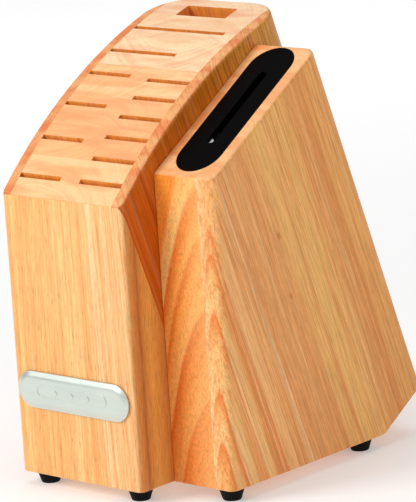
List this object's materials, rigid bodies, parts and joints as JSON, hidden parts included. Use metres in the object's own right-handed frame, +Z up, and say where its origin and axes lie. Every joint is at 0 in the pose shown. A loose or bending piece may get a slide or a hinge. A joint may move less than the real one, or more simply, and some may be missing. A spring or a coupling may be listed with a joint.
{
  "type": "knife block",
  "caption": "Counter-top knife block in pale hardwood: a domed slot face, a lower sharpener block glued to its right side with a flush black insert, a metal plate and rubber feet.",
  "frame": {"origin": "centre of the bounding box in plan, on the surface the feet stand on", "axes": "+Z up; -Y out of the front face with the metal plate; +X towards the sharpener block, which is on the right"},
  "size_m": [0.1324, 0.2264, 0.2492],
  "materials": {
    "wood_front": "satin",
    "wood_pale": "satin",
    "wood_orange": "satin",
    "wood_pink": "satin",
    "wood_side": "satin",
    "wood_warm": "satin",
    "wood_tan": "satin",
    "black_plastic": "satin",
    "housing_plastic": "matte",
    "stone_ceramic": "satin",
    "pin_steel": "polished",
    "spring_steel": "satin",
    "screw_steel": "polished",
    "plate_metal": "brushed",
    "adhesive_foam": "matte",
    "foot_rubber": "matte"
  },
  "bodies": {
    "block": {"front_wedge_board": "wood_front", "rear_wedge_board": "wood_front", "core_board_1": "wood_pale", "core_board_2": "wood_orange", "core_board_3": "wood_orange", "core_board_4": "wood_pale", "core_board_5": "wood_pale", "core_board_6": "wood_pale", "core_board_7": "wood_pink", "left_side_board": "wood_side", "right_side_board": "wood_side", "sharpener_inner_board": "wood_warm", "sharpener_outer_board": "wood_tan", "sharpener_bezel": "black_plastic", "housing_left": "housing_plastic", "housing_right": "housing_plastic", "left_pivot_pin": "pin_steel", "right_pivot_pin": "pin_steel", "left_leaf_spring": "spring_steel", "right_leaf_spring": "spring_steel", "housing_screws": "screw_steel", "nameplate": "plate_metal", "nameplate_pad": "adhesive_foam", "foot_front_left": "foot_rubber", "foot_front_middle": "foot_rubber", "foot_front_right": "foot_rubber", "foot_rear_left": "foot_rubber", "foot_rear_middle": "foot_rubber", "foot_rear_right": "foot_rubber", "foot_screws": "screw_steel"},
    "left_carrier": {"left_arm": "housing_plastic", "left_stone": "stone_ceramic"},
    "right_carrier": {"right_arm": "housing_plastic", "right_stone": "stone_ceramic"}
  },
  "joints": [
    {"name": "left_arm_hinge", "type": "hinge", "parent": "block", "child": "left_carrier", "pos_m": [0.039, -0.04632, 0.18518], "axis": [0, 0.5299, -0.848], "range_deg": [0, 5], "stiffness_Nm_per_rad": 0.05, "springref_deg": -2.86, "deforming": ["left_leaf_spring"]},
    {"name": "right_arm_hinge", "type": "hinge", "parent": "block", "child": "right_carrier", "pos_m": [0.0502, -0.04632, 0.18518], "axis": [0, -0.5299, 0.848], "range_deg": [0, 5], "stiffness_Nm_per_rad": 0.05, "springref_deg": -2.86, "deforming": ["right_leaf_spring"]}
  ]
}
